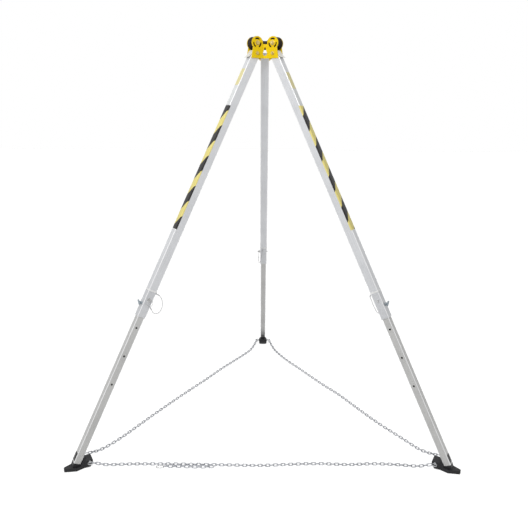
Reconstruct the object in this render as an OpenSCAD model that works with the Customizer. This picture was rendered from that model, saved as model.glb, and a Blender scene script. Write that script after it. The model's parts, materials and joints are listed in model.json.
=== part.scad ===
// Rescue tripod: three telescopic square legs hinged in a head of folded plates with rope rollers.
// Millimetres, +Z up, floor at Z = 0, back leg towards +Y, the two front legs towards -Y.

/* [Legs] */
// Angle of each open leg from the vertical
leg_angle = 27.2; // [22:0.1:32]
// Outside width of the square upper tube
tube_w = 50; // [46:0.5:56]
// Wall of the upper tube
tube_wall = 3; // [2.5:0.25:4]
// Outside corner radius of both tubes
tube_corner = 4; // [2:0.5:6]
// Upper tube below the hinge pin
upper_reach = 1500; // [1200:10:1700]
// Level top of the open upper tube above the hinge pin
upper_over = 11; // [10.5:0.5:13]
// Length of the lower tube
lower_len = 1800; // [1500:10:2000]
// Lower tube that stays inside the upper tube
lower_inside = 696; // [600:1:760]
// Wall of the lower tube
lower_wall = 3; // [2.5:0.25:4]
// Gap on each side between the upper and the lower tube
slide_gap = 1; // [0.6:0.1:1.5]

/* [Lock] */
// Length of the lock collar on the lower tube
collar_len = 168; // [150:1:200]
// Diameter of the lock pin
pin_d = 12; // [10:0.5:14]
// Lock pin below the top of the collar
pin_drop = 57; // [45:1:65]
// Spacing of the pin holes along the lower tube
hole_pitch = 180; // [150:5:200]
// Number of pin holes in the lower tube
hole_count = 4; // [3:1:4]
// Clamp screw below the top of the collar
screw_drop = 91; // [86:1:110]
// Diameter of the clamp screw
screw_d = 10; // [8:0.5:12]
// Length of the clamp screw's cross handle
screw_bar = 38; // [30:1:50]

/* [Head] */
// Distance of the hinge pins from the tripod's axis
pivot_r = 70; // [66:1:80]
// Diameter of the hinge pins
pivot_d = 12; // [10:0.5:14]
// Thickness of the folded head plates
plate_t = 6; // [4:0.5:8]
// Play between a leg and the plates on each side of it
side_play = 1; // [0.5:0.1:1.5]
// Half width of the flat between a plate's two folds
fold_half = 8.8; // [8:0.2:12]
// Plate below the hinge pin
plate_drop = 27; // [24:1:32]
// Width of the pear-shaped anchor opening in each plate
anchor_w = 24; // [20:0.5:25]
// Height of the anchor opening
anchor_h = 46; // [42:1:48]
// Roller axle above the hinge pin
axle_rise = 56; // [54:1:64]
// Distance of the roller axles from the tripod's axis
axle_r = 68; // [66:1:74]
// Radius of the round ears that carry the rollers
ear_r = 36; // [35:0.5:40]
// Saddle between the ears, below the roller axles
saddle_drop = 6; // [0:0.5:12]

/* [Rollers] */
// Diameter of the rope rollers over their rims
roller_d = 73; // [66:1:73]
// Diameter of the rope rollers in their grooves
groove_d = 50; // [44:1:56]
// Diameter of the roller axles
axle_d = 14; // [10:0.5:16]
// Wall of the roller bushes
bush_wall = 3; // [2:0.5:5]
// Play between a roller and the plates on each side of it
roller_play = 1; // [0.5:0.1:2]

/* [Feet] */
// Thickness of the rubber sole
sole_t = 6; // [4:0.5:10]
// Height of the shoe at its toe, sole included
toe_h = 22; // [18:1:28]
// Height of the shoe at its heel, sole included
heel_h = 48; // [42:1:52]
// Reach of the toe from the leg's line on the floor
toe_reach = 52; // [46:1:70]
// Reach of the heel from the leg's line on the floor
heel_reach = 108; // [100:1:116]
// Half width of the shoe under the leg
shoe_half = 35; // [30:1:42]
// Height of the lower tube's end above the floor, on its axis
seat_h = 40; // [38:1:48]
// Length of the spigot that holds the shoe in the lower tube
spigot_len = 95; // [85:1:120]
// Diameter of the bolts through the shoe's spigot
shoe_bolt_d = 8; // [6:0.5:10]

/* [Chains] */
// Width of the chain's links
chain_d = 16; // [14:0.5:16]
// Diameter of the lock pin's lanyard
lanyard_d = 3; // [2:0.25:3]

/* [Hidden] */
$fn = 48;

// Directions of the legs and of the plates between them
LEFT = 210;
RIGHT = 330;
BACK = 90;
FRONT_PLATE = 270;
LEFT_PLATE = 150;
RIGHT_PLATE = 30;

// Clearances
run_fit = 0.05;   // a turning pin in its bore, on the radius
hole_fit = 0.2;   // a bolt in its hole, on the radius
slip_fit = 0.2;   // a plug, collar or spigot on each side of its tube
stop_gap = 0.3;   // a piece that rests on its stop
cut = 1;          // how far a cut runs past the face

// Colours
yellow = [0.93, 0.79, 0.06];
aluminium = [0.80, 0.81, 0.83];
dull_aluminium = [0.70, 0.70, 0.69];
steel = [0.72, 0.73, 0.74];
bronze = [0.70, 0.55, 0.30];
black = [0.12, 0.12, 0.13];
blue_grey = [0.30, 0.34, 0.38];

// Leg
tube_in = tube_w - 2 * tube_wall;
lower_w = tube_in - 2 * slide_gap;
lower_in = lower_w - 2 * lower_wall;
collar_top = upper_reach + stop_gap;
pin_place = collar_top + pin_drop;
screw_place = collar_top + screw_drop;
lower_top = upper_reach - lower_inside;
leg_reach = lower_top + lower_len;
pivot_z = leg_reach * cos(leg_angle) + seat_h;
foot_r = pivot_r + pivot_z * tan(leg_angle);
seat_s = seat_h / cos(leg_angle);
leg_len = leg_reach + seat_s;

// Head
wing_in = tube_w / 2 + side_play;
wing_out = wing_in + plate_t;
fold_out = (wing_out + fold_half * sin(30)) / cos(30);
fold_in = fold_out - plate_t;
fold_half_in = (fold_in * cos(30) - wing_in) / sin(30);
plate_bottom = pivot_z - plate_drop;
axle_z = pivot_z + axle_rise;
saddle_z = axle_z - saddle_drop;
head_top = axle_z + ear_r;
wing_margin = 11;
wing_edge = pivot_r + tube_w / 2 + wing_margin;
wing_start = 24;
ear_tangent = -39;
anchor_z = pivot_z;
anchor_tip = 3;
slot_inset = 12.5;
slot_r = ear_r - slot_inset;
slot_w = 9;
slot_end_d = slot_w - 1.2;
slot_span = 56;
axle_head = 26;
hinge_head = 20;

// Leg stop plate, placed below the hinge pin along the leg
stop_t = 3;
stop_start = -4;
stop_end = 14;
flare_r = 48;
flare_angle = 39;

// Roller
roller_w = 2 * wing_in - 2 * roller_play;
roller_round = 2;
rim_steps = 4;
groove_half = 10;
bush_d = axle_d + 2 * run_fit + 2 * bush_wall;

// Leg fittings
block_len = 30;
glide_head = 8;
glide_len = 30;
glide_fit = 0.25;
lug_reach = 10;
lug_w = 8;
lug_h = 12;
lug_drop = 6;
lug_side = 10;
pin_head_d = 22;
pin_head_t = 6;
pin_tip = 7;
tab_t = 4;
tab_w = 14;
tab_hole = 6;
ring_r = 18;
ring_wire = 2.5;
screw_hub_d = 17;
screw_hub_h = 14;
screw_bar_d = 10;
screw_turn = 20;

// Shoe outline on the floor, from the toe to the heel
toe_half = 9;
waist_place = -58;
waist_half = 25;
widest_place = -12;
bar_place = -70;
heel_half = 34;
heel_foot_half = 28;
heel_undercut = 16;
heel_rise = 28;
strap_t = 3;
strap_w = 28;
strap_start = 12;
strap_len = 46;
bolt_places = [33, 48.5];
bolt_head = 13;
bolt_cap_h = 2.5;
bolt_nut_h = 5;

// Eye bolts in the sides of the heel
eye_place = (bar_place - heel_reach) / 2;
eye_drop = 9;
eye_r = 13.5;
eye_wire = 5.5;
eye_collar_d = 16;
eye_collar_h = 3;
eye_stem_d = 8;
eye_stem_len = 20;
eye_z = heel_h - eye_drop;
eye_side = heel_half + eye_collar_h + eye_r;

// The tripod's axis lies behind the middle of the footprint, so the box is centred on the origin
toe_y = foot_r + toe_reach;
front_y = max([for (p = shoe_outline()) (foot_r + p.x) * sin(30) + p.y * cos(30)]);
axis_y = -(toe_y - front_y) / 2;

function shoe_side() = [[toe_reach, toe_half], [widest_place, shoe_half], [waist_place, waist_half],
    [bar_place, heel_half], [-heel_reach, heel_half]];
function mirrored(side) = [for (i = [len(side) - 1:-1:0]) [side[i].x, -side[i].y]];
function shoe_outline() = concat(shoe_side(), mirrored(shoe_side()));

// A square outline with rounded corners
corner_steps = 5;
function rounded(w, r) = [for (q = [0:3], i = [0:corner_steps])
    let (a = q * 90 + i * 90 / corner_steps, sx = q == 0 || q == 3 ? 1 : -1, sy = q < 2 ? 1 : -1)
    [sx * (w / 2 - r) + r * cos(a), sy * (w / 2 - r) + r * sin(a)]];

// Frames of a leg's direction, of a leg along its axis from the hinge pin, and of a foot on the floor
module at_leg(a) { translate([0, axis_y, 0]) rotate([0, 0, a]) children(); }
module on_leg(a) { at_leg(a) translate([pivot_r, 0, pivot_z]) rotate([0, -leg_angle, 0]) children(); }
module at_foot(a) { at_leg(a) translate([foot_r, 0, 0]) children(); }

// A shape drawn in the plane of a leg, given thickness from side y0 to side y1
module across(y0, y1) { translate([0, y1, 0]) rotate([90, 0, 0]) linear_extrude(y1 - y0) children(); }
// A round bar across a leg, from side y0 to side y1
module cross_bar(d, y0, y1, fn = 48) {
    translate([0, y1, 0]) rotate([90, 0, 0]) cylinder(d = d, h = y1 - y0, $fn = fn);
}
// A round bar along a leg's outward direction, from x0 to x1
module out_bar(d, x0, x1, fn = 48) {
    translate([x0, 0, 0]) rotate([0, 90, 0]) cylinder(d = d, h = x1 - x0, $fn = fn);
}
// A square bar along a leg, from z0 up to z1
module square_bar(w, r, z0, z1) { translate([0, 0, z0]) linear_extrude(z1 - z0) polygon(rounded(w, r)); }
module square_tube(w, wall, r, z0, z1) {
    difference() {
        square_bar(w, r, z0, z1);
        square_bar(w - 2 * wall, max(r - wall, 0.5), z0 - cut, z1 + cut);
    }
}
// A wire ring in the plane of X and Z
module wire_ring(r, wire) { rotate([90, 0, 0]) rotate_extrude() translate([r, 0]) circle(d = wire, $fn = 24); }

// Head plates
module wing() {
    across(wing_in - cut, wing_out + cut) polygon([[wing_start, plate_bottom], [wing_edge, plate_bottom],
        [axle_r + ear_r * cos(ear_tangent), axle_z + ear_r * sin(ear_tangent)], [axle_r, axle_z],
        [wing_start, saddle_z]]);
    translate([axle_r, 0, axle_z]) cross_bar(2 * ear_r, wing_in - cut, wing_out + cut, 96);
}
module arc_slot(middle) {
    y0 = wing_in - cut;
    y1 = wing_out + cut;
    far = 2 * ear_r;
    intersection() {
        difference() {
            cross_bar(2 * slot_r + slot_w, y0, y1);
            cross_bar(2 * slot_r - slot_w, y0 - cut, y1 + cut);
        }
        across(y0 - cut, y1 + cut) polygon([[0, 0],
            [far * cos(middle - slot_span / 2), far * sin(middle - slot_span / 2)],
            [far * cos(middle + slot_span / 2), far * sin(middle + slot_span / 2)]]);
    }
    for (s = [-0.5, 0.5])
        translate([slot_r * cos(middle + s * slot_span), 0, slot_r * sin(middle + s * slot_span)])
            cross_bar(slot_end_d, y0, y1);
}
module wing_cuts() {
    translate([axle_r, 0, axle_z]) {
        cross_bar(axle_d + 2 * hole_fit, wing_in - 2 * cut, wing_out + 2 * cut);
        for (a = [90, 210, 330]) arc_slot(a);
    }
    translate([pivot_r, 0, pivot_z]) cross_bar(pivot_d + 2 * hole_fit, wing_in - 2 * cut, wing_out + 2 * cut);
}
module anchor_opening() {
    tip = anchor_h - anchor_w / 2 - anchor_tip;
    x0 = fold_in - anchor_w;
    x1 = fold_out + anchor_w;
    translate([0, 0, anchor_z]) {
        out_bar(anchor_w, x0, x1);
        translate([0, 0, tip]) out_bar(2 * anchor_tip, x0, x1);
        translate([x0, 0, 0]) rotate([90, 0, 90]) linear_extrude(x1 - x0)
            polygon([[-0.92 * anchor_w / 2, 2], [0.92 * anchor_w / 2, 2], [0.8 * anchor_tip, tip + 0.5],
                [-0.8 * anchor_tip, tip + 0.5]]);
    }
}
function plate_point(side, r, off) = [r * cos(60) + off * sin(60), side * (r * sin(60) - off * cos(60))];
module plate_plan() {
    polygon([plate_point(-1, 2 * wing_edge, wing_out), [fold_out, -fold_half], [fold_out, fold_half],
        plate_point(1, 2 * wing_edge, wing_out), plate_point(1, 2 * wing_edge, wing_in),
        [fold_in, fold_half_in], [fold_in, -fold_half_in], plate_point(-1, 2 * wing_edge, wing_in)]);
}
module head_plate(a) {
    color(yellow) at_leg(a) difference() {
        intersection() {
            translate([0, 0, plate_bottom]) linear_extrude(head_top - plate_bottom) plate_plan();
            union() {
                translate([fold_in - cut, -fold_half_in, plate_bottom])
                    cube([plate_t + 2 * cut, 2 * fold_half_in, saddle_z - plate_bottom]);
                for (m = [0, 1]) mirror([0, m, 0]) rotate([0, 0, -60]) wing();
            }
        }
        anchor_opening();
        for (m = [0, 1]) mirror([0, m, 0]) rotate([0, 0, -60]) wing_cuts();
    }
}

// Leg stop plates between the wings, flared outwards at the lower end
module stop_plate(a) {
    face = tube_w / 2 + stop_gap;
    color(aluminium) on_leg(a) {
        translate([face, -wing_in, -stop_end]) cube([stop_t, 2 * wing_in, stop_end - stop_start]);
        translate([face + flare_r, wing_in, -stop_end]) rotate([90, 0, 0]) rotate([0, 0, 180])
            rotate_extrude(angle = flare_angle) translate([flare_r - stop_t, 0]) square([stop_t, 2 * wing_in]);
    }
}

// A bolt across a leg with its nut: round flange and six-sided head on the one side, nut on the other
module bolt_and_nut(d, head_d) {
    flange = 2;
    head_h = d * 0.55;
    nut_h = d * 0.75;
    cross_bar(d, -wing_out - flange - nut_h - 2, wing_out);
    cross_bar(head_d, wing_out, wing_out + flange);
    cross_bar(head_d * 0.85, wing_out + flange, wing_out + flange + head_h, 6);
    difference() {
        union() {
            cross_bar(head_d, -wing_out - flange, -wing_out);
            cross_bar(head_d * 0.85, -wing_out - flange - nut_h, -wing_out - flange, 6);
        }
        cross_bar(d + 2 * run_fit, -wing_out - flange - nut_h - cut, -wing_out + cut);
    }
}
module axle_bolts() {
    color(steel) for (a = [LEFT, RIGHT, BACK])
        at_leg(a) translate([axle_r, 0, axle_z]) bolt_and_nut(axle_d, axle_head);
}
module hinge_bolts() {
    color(steel) for (a = [LEFT, RIGHT, BACK]) at_leg(a) translate([pivot_r, 0, pivot_z])
        bolt_and_nut(pivot_d, hinge_head);
}

// Rope rollers, grooved, on bronze bushes
module roller(a) {
    half = roller_w / 2;
    r = roller_d / 2;
    rim = [for (i = [0:rim_steps]) let (t = i * 90 / rim_steps)
        [r - roller_round + roller_round * sin(t), roller_round * cos(t)]];
    flank = [[r, half - 1.6 * roller_round], [groove_d / 2 + 2, groove_half + 2], [groove_d / 2, groove_half]];
    side = concat([for (p = rim) [p.x, half - roller_round + p.y]], flank);
    last = len(side) - 1;
    color(black) at_leg(a) translate([axle_r, 0, axle_z]) rotate([90, 0, 0]) rotate_extrude($fn = 96)
        polygon(concat([[bush_d / 2, -half], [bush_d / 2, half]], side,
            [for (i = [last:-1:0]) [side[i].x, -side[i].y]]));
}
module roller_bush(a) {
    color(bronze) at_leg(a) translate([axle_r, 0, axle_z]) difference() {
        cross_bar(bush_d, -roller_w / 2, roller_w / 2);
        cross_bar(axle_d + 2 * run_fit, -roller_w / 2 - cut, roller_w / 2 + cut);
    }
}

// Upper legs, cut level at the top
module above_leg() {
    rotate([0, leg_angle, 0]) translate([-tube_w, -tube_w, upper_over]) cube(2 * tube_w);
}
module upper_tube(a) {
    color(aluminium) on_leg(a) difference() {
        square_tube(tube_w, tube_wall, tube_corner, -upper_reach, tube_w);
        above_leg();
        cross_bar(pivot_d + 2 * hole_fit, -tube_w / 2 - cut, tube_w / 2 + cut);
    }
}
module hinge_block(a) {
    color(dull_aluminium) on_leg(a) difference() {
        square_bar(tube_in - 2 * slip_fit, 1, -block_len, tube_w);
        above_leg();
        cross_bar(pivot_d + 2 * run_fit, -tube_w / 2, tube_w / 2);
    }
}

// Lower legs
module pin_hole(place) {
    translate([0, 0, -place]) cross_bar(pin_d + 2 * run_fit, -tube_w / 2 - cut, tube_w / 2 + cut);
}
module lower_tube(a) {
    color(dull_aluminium) on_leg(a) difference() {
        square_tube(lower_w, lower_wall, tube_corner, -leg_reach, -lower_top);
        for (i = [0:hole_count - 1]) pin_hole(pin_place + i * hole_pitch);
        for (p = bolt_places) translate([0, 0, p - leg_reach])
            out_bar(shoe_bolt_d + 2 * hole_fit, -lower_w / 2 - cut, lower_w / 2 + cut);
    }
}
module glide_plug(a) {
    color(black) on_leg(a) {
        square_bar(lower_in - 2 * slip_fit, 1, -lower_top - glide_len, -lower_top);
        square_bar(tube_in - 2 * glide_fit, 1, -lower_top, -lower_top + glide_head);
    }
}
module lock_collar(a) {
    color(aluminium) on_leg(a) difference() {
        union() {
            square_bar(tube_w, tube_corner, -collar_top - collar_len, -collar_top);
            translate([-tube_w / 2 - lug_reach, lug_side - lug_w / 2, -collar_top - lug_drop - lug_h])
                cube([lug_reach + tube_wall / 2, lug_w, lug_h]);
        }
        square_bar(lower_w + 2 * slip_fit, tube_corner, -collar_top - collar_len - cut, -collar_top + cut);
        pin_hole(pin_place);
        translate([0, 0, -screw_place]) out_bar(screw_d + 2 * run_fit, lower_w / 2, tube_w / 2 + cut);
    }
}
module clamp_screw(a, turn) {
    tip = lower_w / 2 + stop_gap;
    hub = tube_w / 2 + stop_gap;
    bar_x = hub + screw_hub_h + screw_bar_d / 2 - 2;
    color(blue_grey) on_leg(a) translate([0, 0, -screw_place]) rotate([turn, 0, 0]) {
        out_bar(screw_d, tip, hub + screw_hub_h);
        out_bar(screw_hub_d, hub, hub + screw_hub_h);
        translate([bar_x, 0, 0]) {
            cross_bar(screw_bar_d, -screw_bar / 2, screw_bar / 2);
            for (s = [-1, 1]) translate([0, s * screw_bar / 2, 0]) sphere(d = screw_bar_d);
        }
    }
}
module lock_pin(a) {
    head0 = tube_w / 2 + stop_gap;
    tab0 = head0 + pin_head_t;
    color(steel) on_leg(a) translate([0, 0, -pin_place]) {
        cross_bar(pin_d, -tube_w / 2 - pin_tip, head0);
        cross_bar(pin_head_d, head0, tab0);
        difference() {
            translate([-tab_t / 2, tab0, -tab_w / 2]) cube([tab_t, tab_w, tab_w]);
            translate([0, tab0 + tab_w / 2, 0]) out_bar(tab_hole, -tab_t / 2 - cut, tab_t / 2 + cut);
        }
    }
}
module pin_ring(a) {
    color(steel) on_leg(a) translate([0, tube_w / 2 + stop_gap + pin_head_t + tab_w / 2, -pin_place])
        rotate([0, leg_angle, 0]) translate([0, 0, -ring_r]) wire_ring(ring_r, ring_wire);
}

// Feet
module shoe_spigot() {
    square_bar(lower_in - 2 * slip_fit, 1, -leg_reach - cut, -leg_reach + spigot_len);
}
module shoe(a) {
    outer = [-seat_s * sin(leg_angle) + lower_w / 2 * cos(leg_angle), seat_h + lower_w / 2 * sin(leg_angle)];
    inner = [-seat_s * sin(leg_angle) - lower_w / 2 * cos(leg_angle), seat_h - lower_w / 2 * sin(leg_angle)];
    lean = (heel_h - inner.y) * tan(leg_angle);
    color(black) difference() {
        union() {
            at_foot(a) intersection() {
                translate([0, 0, sole_t]) linear_extrude(heel_h - sole_t) polygon(shoe_outline());
                across(-heel_half - cut, heel_half + cut) polygon([
                    [toe_reach + cut, sole_t], [toe_reach + cut, toe_h],
                    [inner.x, toe_h], inner, [inner.x - lean, heel_h], [-heel_reach - cut, heel_h],
                    [-heel_reach - cut, heel_rise], [-heel_reach + heel_undercut, sole_t]]);
            }
            at_foot(a) across(-lower_w / 2, lower_w / 2)
                polygon([outer, inner, [inner.x, toe_h - cut], [outer.x + toe_h / 2, toe_h - cut]]);
            on_leg(a) shoe_spigot();
        }
        for (p = bolt_places) on_leg(a) translate([0, 0, p - leg_reach])
            out_bar(shoe_bolt_d + 2 * hole_fit, -lower_w, lower_w);
        for (m = [0, 1]) at_foot(a) mirror([0, m, 0]) translate([eye_place, 0, eye_z])
            cross_bar(eye_stem_d + 2 * run_fit, heel_half - eye_stem_len, heel_half + cut);
    }
}
module sole(a) {
    heel = -heel_reach + heel_undercut;
    foot_side = [[toe_reach, toe_half], [widest_place, shoe_half], [waist_place, waist_half],
        [heel, heel_foot_half]];
    color(black) at_foot(a) linear_extrude(sole_t) polygon(concat(foot_side, mirrored(foot_side)));
}
module shoe_strap(a) {
    color(black) on_leg(a) difference() {
        translate([lower_w / 2, -strap_w / 2, strap_start - leg_reach]) cube([strap_t, strap_w, strap_len]);
        for (p = bolt_places) translate([0, 0, p - leg_reach])
            out_bar(shoe_bolt_d + 2 * hole_fit, lower_w / 2 - cut, lower_w / 2 + strap_t + cut);
    }
}
module shoe_bolts(a) {
    outside = lower_w / 2 + strap_t;
    color(steel) on_leg(a) for (p = bolt_places) translate([0, 0, p - leg_reach]) {
        out_bar(shoe_bolt_d, -lower_w / 2 - bolt_nut_h - 2, outside);
        out_bar(bolt_head, outside, outside + bolt_cap_h, 6);
        difference() {
            out_bar(bolt_head, -lower_w / 2 - bolt_nut_h, -lower_w / 2, 6);
            out_bar(shoe_bolt_d + 2 * run_fit, -lower_w / 2 - bolt_nut_h - cut, -lower_w / 2 + cut);
        }
    }
}
// Eye bolts for the chains, screwed into the sides of the heel with their rings level
module chain_eyes(a) {
    color(steel) for (m = [0, 1]) at_foot(a) mirror([0, m, 0]) translate([eye_place, 0, eye_z]) {
        cross_bar(eye_stem_d, heel_half - eye_stem_len, heel_half + eye_collar_h);
        cross_bar(eye_collar_d, heel_half, heel_half + eye_collar_h);
        translate([0, eye_side, 0]) rotate([90, 0, 0]) wire_ring(eye_r, eye_wire);
    }
}

// Cords: chains on the floor from the tripod's axis, and lanyards along a leg from the lock pin
chain_front_route = [[-990, -636.5, 39], [-968, -632, 33], [-930, -621, 18], [-880, -609, 9], [-760, -601, 8],
    [-600, -599, 8], [-420, -601, 8], [-220, -605, 8], [10, -608, 8], [170, -596, 8], [330, -589, 8],
    [520, -596, 8], [650, -588, 8], [790, -594, 8], [882, -606, 9], [930, -621, 18], [968, -632, 33],
    [990, -636.5, 39]];
chain_tail_route = [[-579.5, -620, 8], [-490, -622, 8], [-380, -626, 8], [-290, -622, 8]];
chain_left_route = [[-1047.5, -538.5, 39], [-1036, -522, 33], [-1015, -487, 18], [-982, -440, 9],
    [-926, -360, 8],
    [-850, -226, 8], [-760, -60, 8], [-660, 118, 8], [-550, 304, 8], [-440, 486, 8], [-330, 678, 8],
    [-225, 843, 8], [-106, 1045, 9], [-84, 1098, 18], [-66, 1148, 33], [-56, 1176, 39]];
chain_right_route = [[1047.5, -538.5, 39], [1036, -522, 33], [1014, -487, 18], [978, -440, 9], [900, -320, 8],
    [790, -154, 8], [700, 2, 8], [640, 112, 8], [560, 258, 8], [475, 385, 8], [390, 524, 8], [300, 676, 8],
    [200, 840, 8], [104, 1045, 9], [84, 1098, 18], [66, 1148, 33], [56, 1176, 39]];
lanyard_wide = [[-35.5, 10, 45], [-58, 11, 40], [-86, 15, 14], [-97, 21, -22], [-84, 31, -55], [-56, 37.5, -63],
    [-30, 38.5, -46], [-17.5, 38.5, -34.1]];
lanyard_narrow = [[-35.5, 10, 45], [-47, 11, 38], [-52, 14, 5], [-55, 20, -40], [-50, 29, -78], [-34, 36, -88],
    [-20, 38.5, -60], [-17.5, 38.5, -34.1]];
cord_sides = 8;

// A tube swept along a route, its rings square to the way it runs
function along(route, i) =
    let (a = route[max(i - 1, 0)], b = route[min(i + 1, len(route) - 1)]) (b - a) / norm(b - a);
function ring_side(t) = let (u = abs(t.z) < 0.9 ? [0, 0, 1] : [1, 0, 0], s = cross(t, u)) s / norm(s);
function ring_at(route, i, r) = let (t = along(route, i), s = ring_side(t), u = cross(s, t))
    [for (k = [0:cord_sides - 1]) let (a = (k + 0.5) * 360 / cord_sides)
        route[i] + r * (cos(a) * s + sin(a) * u)];
function tube_faces(n) = concat(
    [for (i = [0:n - 2], k = [0:cord_sides - 1]) let (m = (k + 1) % cord_sides)
        each [[i * cord_sides + k, (i + 1) * cord_sides + k, (i + 1) * cord_sides + m],
            [i * cord_sides + k, (i + 1) * cord_sides + m, i * cord_sides + m]]],
    [for (k = [1:cord_sides - 2]) [0, k, k + 1]],
    [for (k = [1:cord_sides - 2])
        [(n - 1) * cord_sides, (n - 1) * cord_sides + k + 1, (n - 1) * cord_sides + k]]);
module cord(route, d) {
    n = len(route);
    polyhedron([for (i = [0:n - 1]) each ring_at(route, i, d / 2)], tube_faces(n));
}
module chain(route) { color(steel) translate([0, axis_y, 0]) cord(route, chain_d); }
module lanyard(a, route) { color(steel) on_leg(a) translate([0, 0, -pin_place]) cord(route, lanyard_d); }

// Snap hook that lies on the floor and takes up the front chain's spare length
hook_place = [-605, -620];
hook_wire = 6;
hook_r = 10;
hook_half = 12;
module chain_hook() {
    color(steel) translate([hook_place.x, hook_place.y + axis_y, hook_wire / 2]) {
        for (s = [-1, 1]) {
            translate([s * hook_half, 0, 0]) rotate([0, 0, s * 90 - 90]) rotate([0, 0, -90])
                rotate_extrude(angle = 180) translate([hook_r, 0]) circle(d = hook_wire, $fn = 24);
            translate([-hook_half, s * hook_r, 0]) rotate([0, 90, 0])
                cylinder(d = hook_wire, h = 2 * hook_half, $fn = 24);
        }
    }
}

head_plate(FRONT_PLATE);  // head_plate_front
head_plate(LEFT_PLATE);  // head_plate_left
head_plate(RIGHT_PLATE);  // head_plate_right
stop_plate(LEFT);  // stop_plate_left
stop_plate(RIGHT);  // stop_plate_right
stop_plate(BACK);  // stop_plate_back
axle_bolts();
hinge_bolts();
roller(LEFT);  // roller_left
roller(RIGHT);  // roller_right
roller(BACK);  // roller_back
roller_bush(LEFT);  // roller_bush_left
roller_bush(RIGHT);  // roller_bush_right
roller_bush(BACK);  // roller_bush_back
upper_tube(LEFT);  // upper_tube_left
upper_tube(RIGHT);  // upper_tube_right
upper_tube(BACK);  // upper_tube_back
hinge_block(LEFT);  // hinge_block_left
hinge_block(RIGHT);  // hinge_block_right
hinge_block(BACK);  // hinge_block_back
lower_tube(LEFT);  // lower_tube_left
lower_tube(RIGHT);  // lower_tube_right
lower_tube(BACK);  // lower_tube_back
glide_plug(LEFT);  // glide_plug_left
glide_plug(RIGHT);  // glide_plug_right
glide_plug(BACK);  // glide_plug_back
lock_collar(LEFT);  // lock_collar_left
lock_collar(RIGHT);  // lock_collar_right
lock_collar(BACK);  // lock_collar_back
clamp_screw(LEFT, -screw_turn);  // clamp_screw_left
clamp_screw(RIGHT, screw_turn);  // clamp_screw_right
clamp_screw(BACK, screw_turn);  // clamp_screw_back
lock_pin(LEFT);  // lock_pin_left
lock_pin(RIGHT);  // lock_pin_right
lock_pin(BACK);  // lock_pin_back
pin_ring(LEFT);  // pin_ring_left
pin_ring(RIGHT);  // pin_ring_right
pin_ring(BACK);  // pin_ring_back
lanyard(LEFT, lanyard_wide);  // lanyard_left
lanyard(RIGHT, lanyard_narrow);  // lanyard_right
lanyard(BACK, lanyard_narrow);  // lanyard_back
shoe(LEFT);  // shoe_left
shoe(RIGHT);  // shoe_right
shoe(BACK);  // shoe_back
sole(LEFT);  // sole_left
sole(RIGHT);  // sole_right
sole(BACK);  // sole_back
shoe_strap(LEFT);  // shoe_strap_left
shoe_strap(RIGHT);  // shoe_strap_right
shoe_strap(BACK);  // shoe_strap_back
shoe_bolts(LEFT);  // shoe_bolts_left
shoe_bolts(RIGHT);  // shoe_bolts_right
shoe_bolts(BACK);  // shoe_bolts_back
chain_eyes(LEFT);  // chain_eyes_left
chain_eyes(RIGHT);  // chain_eyes_right
chain_eyes(BACK);  // chain_eyes_back
union() {  // chain_front
    chain(chain_front_route);
    chain(chain_tail_route);
}
chain(chain_left_route);  // chain_left
chain(chain_right_route);  // chain_right
chain_hook();
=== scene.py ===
import json
import math
import random

import bpy
from mathutils import Matrix, Quaternion, Vector


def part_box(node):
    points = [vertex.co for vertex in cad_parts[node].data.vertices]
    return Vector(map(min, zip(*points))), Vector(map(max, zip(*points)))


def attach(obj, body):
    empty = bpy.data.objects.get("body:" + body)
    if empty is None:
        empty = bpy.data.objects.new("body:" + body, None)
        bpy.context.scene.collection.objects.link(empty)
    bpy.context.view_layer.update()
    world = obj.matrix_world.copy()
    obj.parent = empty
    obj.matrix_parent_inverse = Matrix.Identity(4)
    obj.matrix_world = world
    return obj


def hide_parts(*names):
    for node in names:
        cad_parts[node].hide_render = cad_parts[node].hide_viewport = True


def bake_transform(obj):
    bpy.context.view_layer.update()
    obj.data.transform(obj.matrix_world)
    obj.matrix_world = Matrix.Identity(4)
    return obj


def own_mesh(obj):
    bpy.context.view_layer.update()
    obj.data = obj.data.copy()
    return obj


# Frame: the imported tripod, its box, and the place and direction of each leg.
# A leg's own frame has x outwards, y along the hinge bolt and z up the leg, all from the hinge bolt.
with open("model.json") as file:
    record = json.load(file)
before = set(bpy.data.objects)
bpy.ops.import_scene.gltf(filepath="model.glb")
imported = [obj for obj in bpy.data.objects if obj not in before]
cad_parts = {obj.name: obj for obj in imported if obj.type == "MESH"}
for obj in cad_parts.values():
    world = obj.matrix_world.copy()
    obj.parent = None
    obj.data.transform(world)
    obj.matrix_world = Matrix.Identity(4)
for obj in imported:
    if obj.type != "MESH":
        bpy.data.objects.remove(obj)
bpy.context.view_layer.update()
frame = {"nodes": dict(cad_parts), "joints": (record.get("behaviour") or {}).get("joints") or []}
LEGS = ("left", "right", "back")
joints = {joint["name"]: joint for joint in frame["joints"]}


def leg_frame(leg):
    fold = joints["leg_fold_" + leg]
    side = Vector(fold["axis"])
    up = -Vector(joints["leg_extend_" + leg]["axis"])
    turned = Matrix((side.cross(up), side, up)).transposed().to_4x4()
    turned.translation = Vector(fold["pos_m"])
    return turned


leg_frames = {leg: leg_frame(leg) for leg in LEGS}
tripod_axis = sum((leg_frames[leg].translation for leg in LEGS), Vector()) / len(LEGS)
tripod_axis.z = 0

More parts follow.
